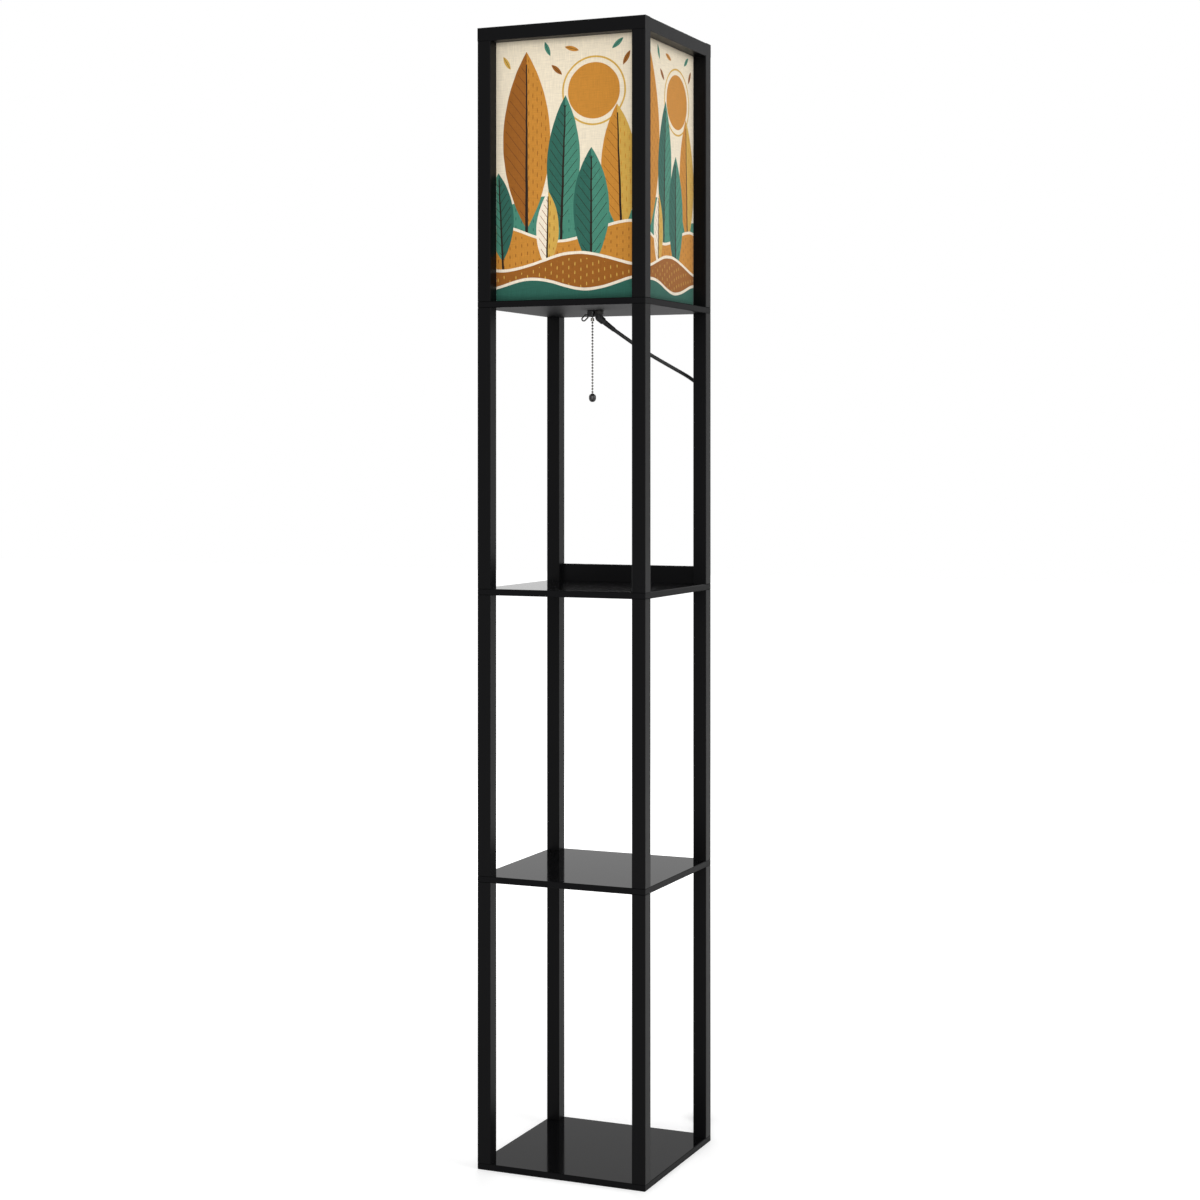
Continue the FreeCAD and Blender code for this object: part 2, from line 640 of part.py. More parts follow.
def make_relief():
    """A collar on the nipple's end, an elbow, and a ribbed boot that points at the rear right post."""
    knee = V(NIPPLE_X, 0, NUT_Z - RELIEF_COLLAR_H)
    dip, plan = math.radians(RELIEF_DIP), math.radians(RELIEF_PLAN)
    way = V(math.cos(dip) * math.cos(plan), math.cos(dip) * math.sin(plan), -math.sin(dip))
    root = RELIEF_ELBOW_L + RELIEF_STEP
    thinning = (RELIEF_BOOT_R - RELIEF_END_R) / (RELIEF_L - root)
    outline = [(0, 0), (RELIEF_R, 0), (RELIEF_R, RELIEF_ELBOW_L), (RELIEF_BOOT_R, root)]
    for k in range(RELIEF_RIB_COUNT):
        rise = root + (2 * k + 1) * RELIEF_RIB_W
        fall = rise + RELIEF_RIB_W
        before, after = [RELIEF_BOOT_R - thinning * (at - root) for at in (rise, fall)]
        outline += [(before, rise), (before - RELIEF_RIB_GROOVE, rise)]
        outline += [(after - RELIEF_RIB_GROOVE, fall), (after, fall)]
    outline += [(RELIEF_END_R, RELIEF_L), (0, RELIEF_L)]
    boot = turned(outline)
    boot.Placement = FreeCAD.Placement(knee, FreeCAD.Rotation(UP, way))
    collar = Part.makeCylinder(RELIEF_COLLAR_R, RELIEF_COLLAR_H, knee)
    relief = collar.fuse(boot).fuse(Part.makeSphere(RELIEF_R, knee))
    save("strain_relief", relief.cut(rod(NIPPLE_R, NIPPLE_X, 0, NIPPLE_END, NUT_Z + 1)))
    print("strain relief ends at", [round(c, 2) for c in knee + way * RELIEF_L])


def make_clips():
    clips = []
    face = DEPTH / 2
    y = face + CLIP_REACH
    outer = CLIP_R + CLIP_T
    left, right = CLIP_X - outer, CLIP_X + outer
    for z in CLIP_Z:
        low = z - CLIP_W / 2
        arch = rod(outer, CLIP_X, y, low, low + CLIP_W)
        arch = arch.fuse(box(left, right, face, y, low, low + CLIP_W))
        arch = arch.fuse(box(left - CLIP_EAR, left, face, face + 2 * CLIP_T, low, low + CLIP_W))
        slot = rod(CLIP_R, CLIP_X, y, low - 1, low + CLIP_W + 1)
        slot = slot.fuse(box(CLIP_X - CLIP_R, CLIP_X + CLIP_R, face - 1, y, low - 1, low + CLIP_W + 1))
        clips.append(arch.cut(slot).removeSplitter())
    save("cord_clips", Part.makeCompound(clips))


def stadium(grow, low, wide):
    """A long round-ended plate in the hank's upright plane, grown by so much."""
    r = HANK_R + grow
    s = HANK_S + HANK_R
    plate = box(s - r, s + r, -wide, wide, low, low + HANK_RUN)
    ends = [Part.makeCylinder(r, 2 * wide, V(s, -wide, z), V(0, 1, 0)) for z in (low, low + HANK_RUN)]
    return plate.multiFuse(ends)


def make_hank():
    half = CORD_D / 2
    wide = HANK_STEP * (HANK_STRANDS - 1) / 2 + half
    low = half + HANK_R
    hank = stadium(half, low, wide).cut(stadium(-half, low, wide + 1)).removeSplitter()
    hank.Placement = HANK_FRAME
    save("cord_hank", hank)
    mid = low + HANK_RUN / 2
    s0, s1 = HANK_S - half, HANK_S + 2 * HANK_R + half
    band = box(s0 - TIE_T, s1 + TIE_T, -wide - TIE_T, wide + TIE_T, mid - TIE_W / 2, mid + TIE_W / 2)
    band = band.makeFillet(TIE_T, upright_edges(band, TIE_W / 2))
    band = band.cut(box(s0, s1, -wide, wide, mid - TIE_W, mid + TIE_W))
    band.Placement = HANK_FRAME
    save("hank_tie", band)
    strands = HANK_STRANDS + HANK_STRANDS - 1
    folds = 2 * (HANK_STRANDS - 1)
    return strands * HANK_RUN + folds * math.pi * HANK_R


def make_plug():
    s, a, z = TAIL_ROUTE[-1]
    thin = CORD_D / 2 + PLUG_RELIEF_WALL
    relief = Part.makeCone(thin, PLUG_RELIEF_R, PLUG_RELIEF_L, V(s, -a, z), V(1, 0, 0))
    rear = s + PLUG_RELIEF_L
    front = rear + PLUG_L
    shoulder = front - PLUG_SHOULDER_L
    half, back = PLUG_W / 2, PLUG_BACK_W / 2
    outline = [(rear, -back), (shoulder, -half), (front, -half)]
    outline += [(x, -y) for x, y in reversed(outline)]
    corners = [V(x, y, z - PLUG_H / 2) for x, y in outline]
    body = Part.Face(Part.makePolygon(corners + corners[:1])).extrude(UP * PLUG_H)
    body = body.makeChamfer(PLUG_EDGE, [e for e in body.Edges if e.BoundBox.ZLength < 1e-6])
    plug = body.fuse(relief)
    blades = []
    for side in (-1, 1):
        y = side * BLADE_PITCH / 2
        left, right = y - BLADE_T / 2, y + BLADE_T / 2
        blade = box(front - BLADE_ROOT, front + BLADE_L, left, right, z - BLADE_W / 2, z + BLADE_W / 2)
        at = V(front + BLADE_L - BLADE_HOLE_IN, left - 1, z)
        plug = plug.cut(blade)
        blades.append(blade.cut(Part.makeCylinder(BLADE_HOLE_R, BLADE_T + 2, at, V(0, 1, 0))))
    plug.Placement = HANK_FRAME
    save("plug_body", plug)
    both = Part.makeCompound(blades)
    both.Placement = HANK_FRAME
    save("plug_blades", both)


def make_cord():
    lead, lead_length = cord_tube(CORD_ROUTE, "lead")
    save("cord_lead", lead)
    tail, tail_length = cord_tube([tuple(hank_point(*p)) for p in TAIL_ROUTE], "tail")
    save("cord_tail", tail)
    wound = make_hank()
    print("cord length about", round(lead_length + tail_length + wound))


make_posts()
make_boards()
make_back_rail()
make_top_frame()
make_frame_screws()
make_shade()
make_lampholder()
make_bulb()
make_deck_fittings()
make_chain()
make_loop()
make_relief()
make_clips()
make_cord()
make_plug()
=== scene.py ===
"""Looks of the shelf floor lamp: black lacquered frame, printed shade, pull chain and cord.

Metres, in the frame's own axes: +X along the front face to the right, +Y to the back, +Z up.
"""

import json
import math

import bmesh
import bpy
from mathutils import Euler, Matrix, Vector
from mathutils.geometry import tessellate_polygon


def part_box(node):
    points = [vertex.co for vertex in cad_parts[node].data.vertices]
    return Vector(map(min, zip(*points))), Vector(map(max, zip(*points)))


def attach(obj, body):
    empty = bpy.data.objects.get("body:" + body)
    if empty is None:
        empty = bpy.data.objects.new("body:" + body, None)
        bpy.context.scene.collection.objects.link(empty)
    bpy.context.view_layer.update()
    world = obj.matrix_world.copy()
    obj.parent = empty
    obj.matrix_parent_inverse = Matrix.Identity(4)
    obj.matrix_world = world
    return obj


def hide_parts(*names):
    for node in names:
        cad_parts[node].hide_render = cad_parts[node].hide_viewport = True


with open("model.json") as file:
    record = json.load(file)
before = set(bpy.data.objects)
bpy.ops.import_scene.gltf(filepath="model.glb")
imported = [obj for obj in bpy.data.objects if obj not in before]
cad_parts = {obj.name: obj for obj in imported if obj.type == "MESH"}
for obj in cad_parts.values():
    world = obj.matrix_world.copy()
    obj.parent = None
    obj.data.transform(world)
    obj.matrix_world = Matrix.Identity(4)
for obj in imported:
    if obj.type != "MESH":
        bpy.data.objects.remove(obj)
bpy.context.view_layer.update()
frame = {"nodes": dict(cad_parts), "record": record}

MM = 0.001

# ---------------------------------------------------------------- camera and light
CAMERA_AT = (1.3011, -3.0138, 1.0010)
CAMERA_TURN = 0.406
LENS = 68.81
SENSOR = 36.0
SHIFT_Y = -0.1206

WORLD_LIGHT = 0.62
LAMPS = [
    # name, place, aim, size, power
    ("key", (1.15, -3.45, 1.8), (0, 0, 1.1), 2.2, 56),
    ("side", (3.4, -0.6, 2.2), (0, 0, 0.9), 2.0, 38),
    ("back", (-1.2, 3.2, 2.4), (0, 0, 0.9), 2.0, 40),
]
FLOOR_SIZE = 30.0
FLOOR_SHADE = 0.72
FLOOR_NEAR = 0.6
FLOOR_FAR = 2.2
FLOOR_GLOW_NEAR = 0.42
FLOOR_GLOW_FAR = 0.75

# ---------------------------------------------------------------- colours, as sRGB
CREAM = (238, 225, 200)
STRIPE = (242, 229, 208)
TEAL = (70, 134, 113)
DEEP_TEAL = (44, 98, 84)
OCHRE = (198, 134, 50)
GOLD = (208, 166, 76)
BROWN = (152, 92, 30)
DARK_BROWN = (104, 58, 22)
INK = (34, 24, 16)
LACQUER = (13, 13, 14)
LACQUER_DARK = (10, 10, 11)
# paler colour for the boards' upright edges: a painted sheen
EDGE_LACQUER_PAINTED_SHEEN = (19, 19, 20)


def linear(colour, alpha=1.0):
    """An sRGB colour of 0 to 255 as the linear colour that a shader takes."""
    out = []
    for value in colour:
        share = value / 255
        out.append(share / 12.92 if share <= 0.04045 else ((share + 0.055) / 1.055) ** 2.4)
    return (*out, alpha)


# ---------------------------------------------------------------- shader fields
class Field:
    """A number that varies over a surface. Arithmetic on it adds Math nodes to its material."""

    def __init__(self, paint, socket):
        self.paint = paint
        self.socket = socket

    def _do(self, operation, *others, clamp=False):
        return self.paint.math(operation, self, *others, clamp=clamp)

    def __add__(self, other):
        return self._do("ADD", other)

    def __sub__(self, other):
        return self._do("SUBTRACT", other)

    def __rsub__(self, other):
        return self.paint.math("SUBTRACT", other, self)

    def __mul__(self, other):
        return self._do("MULTIPLY", other)

    def __truediv__(self, other):
        return self._do("DIVIDE", other)

    __radd__ = __add__
    __rmul__ = __mul__

    def abs(self):
        return self._do("ABSOLUTE")

    def sin(self):
        return self._do("SINE")

    def fraction(self):
        return self._do("FRACT")

    def floor(self):
        return self._do("FLOOR")

    def inside(self, soft):
        """1 where the field is above zero, 0 below, with an edge so soft."""
        return self._do("MULTIPLY_ADD", 1 / soft, 0.5, clamp=True)

    def clamped(self):
        """The field held between 0 and 1."""
        return self._do("ADD", 0.0, clamp=True)

    def between(self, low, high):
        """The field of 0 to 1 carried onto another range."""
        return self * (high - low) + low


class Paint:
    """One material and the nodes that are added to it."""

    def __init__(self, name, **sockets):
        self.material = bpy.data.materials.new(name)
        self.material.use_nodes = True
        self.tree = self.material.node_tree
        self.shader = self.tree.nodes["Principled BSDF"]
        for socket, value in sockets.items():
            self.shader.inputs[socket.replace("_", " ")].default_value = value

    def node(self, kind, settings=None, **inputs):
        made = self.tree.nodes.new("ShaderNode" + kind)
        for setting, value in (settings or {}).items():
            setattr(made, setting, value)
        for name, value in inputs.items():
            self.feed(made.inputs[name.replace("_", " ")], value)
        return made

    def feed(self, socket, value):
        if isinstance(value, Field):
            self.tree.links.new(value.socket, socket)
        elif isinstance(value, bpy.types.NodeSocket):
            self.tree.links.new(value, socket)
        else:
            socket.default_value = value

    def math(self, operation, *values, clamp=False):
        made = self.node("Math", {"operation": operation, "use_clamp": clamp})
        for socket, value in zip(made.inputs, values):
            self.feed(socket, value)
        return Field(self, made.outputs[0])

    def mix(self, share, first, second):
        """One colour over another, by a share from 0 to 1."""
        made = self.node("Mix", {"data_type": "RGBA"})
        self.feed(made.inputs["Factor"], share)
        self.feed(made.inputs["A"], first)
        self.feed(made.inputs["B"], second)
        return made.outputs["Result"]

    def place(self):
        return self.node("TexCoord").outputs["Object"]

    def noise(self, scale, detail=2.0, stretch=(1, 1, 1)):
        """Smooth noise from 0 to 1, so many per metre, finer or coarser along each axis."""
        moved = self.node("Mapping", Vector=self.place(), Scale=stretch)
        made = self.node("TexNoise", Vector=moved.outputs[0], Scale=scale, Detail=detail)
        return Field(self, made.outputs["Fac"])

    def bump(self, height, distance, strength):
        made = self.node("Bump", Height=height, Distance=distance, Strength=strength)
        self.feed(self.shader.inputs["Normal"], made.outputs[0])

    def colour(self, value):
        self.feed(self.shader.inputs["Base Color"], value)

    def roughness(self, value):
        self.feed(self.shader.inputs["Roughness"], value)


# ---------------------------------------------------------------- plain materials
LACQUER_ROUGH = 0.34
BOARD_TOP_ROUGH = 0.08
BOARD_UNDER_ROUGH = 0.48
GRAIN_SCALE = 900
GRAIN_STRETCH = 0.06
TONE_SCALE = 7
POLISH_SCALE = 60
FACING_SOFT = 0.2
FRAME_FINISH = {"gloss": 0.06, "spread": 0.04, "pore_depth": 0.04 * MM, "pore_bump": 0.4}
BOARD_FINISH = {"gloss": 0.023, "spread": 0.01, "pore_depth": 0.008 * MM, "pore_bump": 0.3}
MOTTLE_SCALE = 40
MOTTLE_DARK = 0.86
GLOSS_SCALE = 120
GLOSS_SPREAD = 0.15
SKIN_SCALE = 3000
SKIN_DEPTH = 0.02 * MM
RING_SCALE = 500
RING_STRETCH = 0.08
RING_DARK = 0.75
RING_DEPTH = 0.05 * MM
FINE_BUMP = 0.4


def lacquer(name, grain, gloss, spread, pore_depth, pore_bump, board=False):
    """Black lacquer over wood, with its grain along one axis showing faintly through.

    A board's upper side is polished smoother than its underside, and mirrors what stands on it.
    Its upright edges take a paler colour, a painted sheen that stands in for the shine its low gloss leaves
    off.
    """
    paint = Paint(name, Specular_IOR_Level=gloss)
    along = [GRAIN_STRETCH if axis == grain else 1 for axis in "XYZ"]
    pores = paint.noise(GRAIN_SCALE, 3, stretch=along)
    colour = paint.mix(paint.noise(TONE_SCALE, 3), linear(LACQUER_DARK), linear(LACQUER))
    polish = paint.noise(POLISH_SCALE, 3).between(LACQUER_ROUGH - spread, LACQUER_ROUGH + spread)
    if board:
        facing = paint.node("SeparateXYZ", Vector=paint.node("TexCoord").outputs["Normal"])
        up = Field(paint, facing.outputs[2])
        # painted sheen: the board's upright edges are coloured paler than its upper and lower faces
        edge = (0.5 - up.abs()).inside(FACING_SOFT)
        colour = paint.mix(edge, colour, linear(EDGE_LACQUER_PAINTED_SHEEN))
        polish = polish + (up - 0.5).inside(FACING_SOFT) * (BOARD_TOP_ROUGH - LACQUER_ROUGH)
        polish = polish + (-0.5 - up).inside(FACING_SOFT) * (BOARD_UNDER_ROUGH - LACQUER_ROUGH)
    paint.colour(colour)
    paint.roughness(polish)
    paint.bump(pores, pore_depth, pore_bump)
    return paint.material


def plain(name, colour, roughness, metal=0.0, specular=0.5):
    """Moulded, cast or plated stuff: one colour with a little unevenness and a fine skin."""
    paint = Paint(name, Metallic=metal, Specular_IOR_Level=specular)
    dark = [MOTTLE_DARK * c for c in colour]
    paint.colour(paint.mix(paint.noise(MOTTLE_SCALE, 3), linear(dark), linear(colour)))
    smoothest, roughest = (1 - GLOSS_SPREAD) * roughness, (1 + GLOSS_SPREAD) * roughness
    paint.roughness(paint.noise(GLOSS_SCALE, 3).between(smoothest, roughest))
    paint.bump(paint.noise(SKIN_SCALE, 2), SKIN_DEPTH, FINE_BUMP)
    return paint.material


def pine(name, colour):
    """Bare turned wood with its grain along the piece."""
    paint = Paint(name, Roughness=0.6)
    rings = paint.noise(RING_SCALE, 3, stretch=(1, RING_STRETCH, 1))
    dark = [RING_DARK * c for c in colour]
    paint.colour(paint.mix(rings, linear(dark), linear(colour)))
    paint.bump(rings, RING_DEPTH, FINE_BUMP)
    return paint.material


FRAME_LACQUER = {axis: lacquer("frame_lacquer_" + axis.lower(), axis, **FRAME_FINISH) for axis in "XYZ"}
BOARD_LACQUER = lacquer("board_lacquer", "X", board=True, **BOARD_FINISH)
STEEL = plain("zinc_plate", (178, 178, 174), 0.34, metal=1.0)
NICKEL = plain("nickel_plate", (150, 147, 140), 0.3, metal=1.0)
DARK_NICKEL = plain("dark_nickel_plate", (58, 57, 55), 0.36, metal=1.0)
CHAIN_NICKEL = plain("chain_nickel", (120, 118, 114), 0.34, metal=1.0)
BRASS = plain("brass", (200, 164, 92), 0.3, metal=1.0)
WHITE_WIRE = plain("white_enamel", (226, 224, 216), 0.35)
PHENOLIC = plain("phenolic", (24, 23, 22), 0.42)
BLACK_METAL = plain("black_enamel", (18, 18, 19), 0.32)
BLACK_PLASTIC = plain("black_plastic", (17, 17, 18), 0.5, specular=0.3)
SHEATH = plain("cord_sheath", (15, 15, 16), 0.46, specular=0.35)
OPAL = plain("opal_diffuser", (238, 236, 229), 0.28)
KNOB_BLACK = plain("knob_lacquer", (22, 20, 20), 0.28)
BIRCH = pine("birch", (206, 172, 122))
LINING = plain("styrene_lining", (238, 236, 230), 0.5)


# ---------------------------------------------------------------- the shade's cloth and print
MAP = "print"
WEAVE_DEPTH = 0.25 * MM
WEAVE_BUMP = 0.5
SLUB_RELIEF = 0.8
CROSSING_RELIEF = 0.35
SLUB_TONE = 0.75
CROSSING_TONE = 0.05
CLOTH_TONE = 0.99
# the lengths that follow are in the cloth's map, which is in millimetres
THREAD_PITCH = 0.8
SLUB_FINE = 1.05
SLUB_LONG = 0.055
PRINT_SOFT = 0.16
WANDER = 1.6
WANDER_SCALE = 0.035
BRANCH_SLOPE = 1.25
BRANCH_WIDTH = 1.1
BRANCH_INSET = 3.5
STEM_HALF = 0.8
STEM_TAPER = 0.006
STEM_TOP = 0.86
CREST = 4.0
TICK_SHIFT = 0.37
CROWN_TICKS = {"pitch_x": 6.5, "pitch_y": 15, "half_x": 0.6, "half_y": 3.6}
HILL_TICKS = {"pitch_x": 9.0, "pitch_y": 12.0, "half_x": 0.75, "half_y": 2.6}
CROWN_TICK_INSET = 3
HILL_TICK_INSET = 5.0
LEAF_HALF = 11.0
LEAF_SLIMNESS = 0.3
VEIN_HALF = 0.28
VEIN_INSET = 0.9


def woven(paint, flat, base):
    """Linen-look cloth: long slubs each way and the fine crossing of warp and weft, over a colour."""
    slubs = 0.0
    for scale in ((SLUB_FINE, SLUB_LONG, 1), (SLUB_LONG, SLUB_FINE, 1)):
        stretched = paint.node("Mapping", Vector=flat, Scale=scale)
        thread = paint.node("TexNoise", Vector=stretched.outputs[0], Scale=1.0, Detail=2.0)
        slubs = Field(paint, thread.outputs["Fac"]) * 0.5 + slubs
    axes = paint.node("SeparateXYZ", Vector=flat)
    waves = [(Field(paint, axes.outputs[k]) * (2 * math.pi / THREAD_PITCH)).sin() for k in (0, 1)]
    crossing = waves[0] * waves[1] * 0.5
    tone = (slubs - 0.5) * SLUB_TONE + crossing * CROSSING_TONE + CLOTH_TONE
    grey = paint.node("CombineColor", Red=tone, Green=tone, Blue=tone)
    cloth = paint.node("Mix", {"data_type": "RGBA", "blend_type": "MULTIPLY"})
    paint.feed(cloth.inputs["Factor"], 1.0)
    paint.feed(cloth.inputs["A"], base)
    paint.feed(cloth.inputs["B"], grey.outputs[0])
    paint.colour(cloth.outputs["Result"])
    paint.bump(slubs * SLUB_RELIEF + crossing * CROSSING_RELIEF, WEAVE_DEPTH, WEAVE_BUMP)
    return paint.material


def cloth_paint(name):
    return Paint(name, Roughness=0.86, Specular_IOR_Level=0.2, Sheen_Weight=0.12)


def plain_cloth():
    """The unprinted cloth of the hems."""
    paint = cloth_paint("plain_shade_cloth")
    return woven(paint, paint.node("UVMap", {"uv_map": MAP}).outputs[0], linear(CREAM))


def branches(x, y, pitch):
    """1 on pairs of lines that rise outwards from a stem along y."""
    turn = ((y - x.abs() * BRANCH_SLOPE) / pitch).fraction() - 0.5
    return (BRANCH_WIDTH / 2 - turn.abs() * pitch).inside(PRINT_SOFT)


class Print:
    """A picture in flat inks: x runs from a panel's middle, y up from its foot.

    Its lines wander a little from their drawn place, as a hand's do.
    """

    def __init__(self, paint, flat, ground):
        self.paint = paint
        self.drawn = linear(ground)
        wander = paint.node("TexNoise", Vector=flat, Scale=WANDER_SCALE, Detail=1.0).outputs["Color"]
        shifted = paint.node("VectorMath", {"operation": "MULTIPLY_ADD"})
        paint.feed(shifted.inputs[0], wander)
        shifted.inputs[1].default_value = (WANDER, WANDER, 0)
        shifted.inputs[2].default_value = (-WANDER / 2, -WANDER / 2, 0)
        added = paint.node("VectorMath", {"operation": "ADD"})
        paint.feed(added.inputs[0], flat)
        paint.feed(added.inputs[1], shifted.outputs[0])
        self.place = added.outputs[0]
        split = paint.node("SeparateXYZ", Vector=self.place)
        self.x, self.y = Field(paint, split.outputs[0]), Field(paint, split.outputs[1])

    def ink(self, mask, colour):
        """One more ink over what is drawn, where the mask is 1."""
        self.drawn = self.paint.mix(mask, self.drawn, linear(colour))

    def local(self, at, angle=0.0):
        """The places x and y in a motif's own turned axes."""
        moved = self.paint.node("Mapping", {"vector_type": "TEXTURE"}, Vector=self.place,
                                Location=(*at, 0), Rotation=(0, 0, math.radians(angle)))
        axes = self.paint.node("SeparateXYZ", Vector=moved.outputs[0])
        return Field(self.paint, axes.outputs[0]), Field(self.paint, axes.outputs[1])

    def length(self, x, y):
        joined = self.paint.node("CombineXYZ", X=x, Y=y)
        made = self.paint.node("VectorMath", {"operation": "LENGTH"})
        self.paint.feed(made.inputs[0], joined.outputs[0])
        return Field(self.paint, made.outputs["Value"])

    def disc(self, at, radius, colour):
        x, y = self.local(at)
        self.ink((radius - self.length(x, y)).inside(PRINT_SOFT), colour)

    def leaf_edge(self, x, y, half_length, half_width):
        """How far inside a pointed leaf, which stands along its own y, a place is."""
        radius = (half_length ** 2 + half_width ** 2) / (2 * half_width)
        return radius - self.length(x.abs() + (radius - half_width), y)

    def ticks(self, x, y, pitch_x, pitch_y, half_x, half_y):
        """Short upright dashes in columns, each column shifted by part of a step."""
        column = (x / pitch_x).floor()
        across = ((x / pitch_x).fraction() - 0.5) * (pitch_x / half_x)
        up = ((y / pitch_y + column * TICK_SHIFT).fraction() - 0.5) * (pitch_y / half_y)
        return ((1 - self.length(across, up)) * half_x).inside(PRINT_SOFT)

    def tree(self, at, half_length, half_width, left, right, foot, line, pitch, angle=0.0, dash=None):
        """A two-tone leaf-shaped crown on a stem: branch lines, and dashes on the right where given.

        The crown's middle is at a place, and the stem rises from the height of its foot.
        """
        x, y = self.local(at, angle)
        edge = self.leaf_edge(x, y, half_length, half_width)
        crown = edge.inside(PRINT_SOFT)
        right_half = x.inside(PRINT_SOFT)
        self.ink(crown, left)
        self.ink(crown * right_half, right)
        lines = branches(x, y, pitch) * (edge - BRANCH_INSET).inside(PRINT_SOFT)
        if dash:
            lines = lines * (0.0 - x).inside(PRINT_SOFT)
            marks = self.ticks(x, y, **CROWN_TICKS) * (edge - CROWN_TICK_INSET).inside(PRINT_SOFT)
            self.ink(marks * right_half, dash)
        self.ink(lines, line)
        stem = (STEM_HALF + (half_length - y) * STEM_TAPER - x.abs()).inside(PRINT_SOFT)
        above_foot = (y + (at[1] - foot)).inside(PRINT_SOFT)
        below_top = (half_length * STEM_TOP - y).inside(PRINT_SOFT)
        self.ink(stem * (above_foot * below_top), INK)

    def hill(self, height, swing, wave, phase, colour, dash=None):
        """A rolling hill with a pale crest, and rows of dashes on it where given."""
        top = (self.x * wave + phase).sin() * swing + height - self.y
        self.ink((top + CREST).inside(PRINT_SOFT), STRIPE)
        self.ink(top.inside(PRINT_SOFT), colour)
        if dash:
            marks = self.ticks(self.x, top, **HILL_TICKS)
            self.ink(marks * (top - HILL_TICK_INSET).inside(PRINT_SOFT), dash)

    def drifting_leaf(self, at, angle, colour):
        x, y = self.local(at, angle)
        edge = self.leaf_edge(x, y, LEAF_HALF, LEAF_SLIMNESS * LEAF_HALF)
        self.ink(edge.inside(PRINT_SOFT), colour)
        self.ink((VEIN_HALF - x.abs()).inside(PRINT_SOFT) * (edge - VEIN_INSET).inside(PRINT_SOFT), INK)


def printed_cloth():
    """A landscape of leaf-shaped trees on rolling hills under a low sun, the same on each panel."""
    paint = cloth_paint("printed_shade_cloth")
    flat = paint.node("UVMap", {"uv_map": MAP}).outputs[0]
    art = Print(paint, flat, CREAM)
    sun = (42, 288)
    for radius, colour in ((48, GOLD), (45.5, CREAM), (39, OCHRE)):
        art.disc(sun, radius, colour)
    art.hill(132, 13, 0.027, 2.5, TEAL, dash=DEEP_TEAL)
    art.tree((-60, 224), 124, 36, BROWN, OCHRE, foot=80, line=DARK_BROWN, pitch=17, dash=BROWN)
    art.tree((80, 178), 90, 27, OCHRE, GOLD, foot=80, line=BROWN, pitch=15, angle=2, dash=OCHRE)
    art.tree((-4, 190), 94, 25, DEEP_TEAL, TEAL, foot=80, line=INK, pitch=14, angle=-2)
    art.hill(92, 12, 0.031, 5.0, OCHRE, dash=BROWN)
    art.tree((-100, 118), 62, 20, TEAL, DEEP_TEAL, foot=40, line=INK, pitch=12, angle=3)
    art.tree((38, 126), 84, 27, DEEP_TEAL, TEAL, foot=40, line=INK, pitch=15)
    art.tree((-28, 98), 54, 17, STRIPE, GOLD, foot=30, line=BROWN, pitch=11, angle=-1, dash=BROWN)
    art.hill(52, 11, 0.028, 1.1, BROWN, dash=GOLD)
    art.hill(20, 8, 0.037, 3.5, DEEP_TEAL)
    for at, angle, colour in (
        ((-14, 320), 48, BROWN), ((-28, 350), 22, TEAL), ((-90, 334), 32, GOLD),
        ((78, 351), -50, TEAL), ((9, 348), 74, OCHRE), ((91, 330), -28, BROWN),
    ):
        art.drifting_leaf(at, angle, colour)
    return woven(paint, flat, art.drawn)


# ---------------------------------------------------------------- mesh helpers
def add_mesh(name, vertices, faces, material, body, smooth=True):
    mesh = bpy.data.meshes.new(name)
    mesh.from_pydata([tuple(v) for v in vertices], [], faces)
    made = bpy.data.objects.new(name, mesh)
    bpy.context.scene.collection.objects.link(made)
    mesh.materials.append(material)
    for face in mesh.polygons:
        face.use_smooth = smooth
    fix = bmesh.new()
    fix.from_mesh(mesh)
    bmesh.ops.recalc_face_normals(fix, faces=fix.faces)
    fix.to_mesh(mesh)
    fix.free()
    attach(made, body)
    return made


def lathe_rings(profile, at, sides, first=0):
    """Vertices and faces of an upright turned form; the profile holds (radius, height) points."""
    vertices, faces, rows = [], [], []
    for radius, height in profile:
        row = []
        for k in range(sides if radius > 1e-7 else 1):
            angle = 2 * math.pi * k / sides
            offset = Vector((radius * math.cos(angle), radius * math.sin(angle), height))
            row.append(first + len(vertices))
            vertices.append(Vector(at) + offset)
        rows.append(row)
    for low, high in zip(rows, rows[1:]):
        for k in range(sides):
            a, b = low[k % len(low)], low[(k + 1) % len(low)]
            c, d = high[(k + 1) % len(high)], high[k % len(high)]
            face = [a, b, c, d]
            faces.append([v for i, v in enumerate(face) if v not in face[:i]])
    return vertices, [f for f in faces if len(f) > 2]


def lathe(name, profile, at, sides, material, body):
    vertices, faces = lathe_rings(profile, at, sides)
    return add_mesh(name, vertices, faces, material, body)


def arc_points(centre, radius, start, end, steps):
    """Points of a circular arc in a profile, with angles in degrees."""
    out = []
    for k in range(steps + 1):
        angle = math.radians(start + (end - start) * k / steps)
        out.append((centre[0] + radius * math.cos(angle), centre[1] + radius * math.sin(angle)))
    return out


